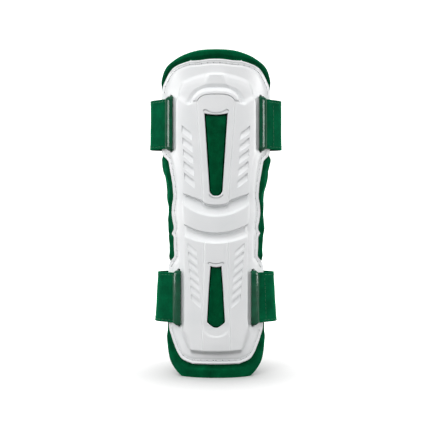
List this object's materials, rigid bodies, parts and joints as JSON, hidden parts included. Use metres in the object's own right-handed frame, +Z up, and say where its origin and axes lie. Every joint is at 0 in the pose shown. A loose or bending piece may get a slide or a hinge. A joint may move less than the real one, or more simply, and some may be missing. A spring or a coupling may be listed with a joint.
{
  "type": "arm guard",
  "caption": "Forearm and elbow guard: a ribbed moulded shell over a curved foam pad, with wide elastic straps that pass under bars into slots.",
  "frame": {"origin": "under the middle of the guard's box, on the surface that its padded lower end stands on", "axes": "+Z up along the arm, from the guard's foot to its crown; -Y is the side that the shell faces; +X is to the right seen from the shell's side"},
  "size_m": [0.1202, 0.0482, 0.287],
  "materials": {
    "moulded_white": "satin",
    "green_velour": "matte",
    "glossy_green": "gloss"
  },
  "bodies": {
    "root": {"pad": "green_velour", "shell": "moulded_white", "upper_inlay": "green_velour", "lower_inlay": "green_velour", "upper_left_bar": "glossy_green", "upper_right_bar": "glossy_green", "lower_left_bar": "glossy_green", "lower_right_bar": "glossy_green", "upper_strap": "green_velour", "lower_strap": "green_velour"}
  },
  "joints": []
}
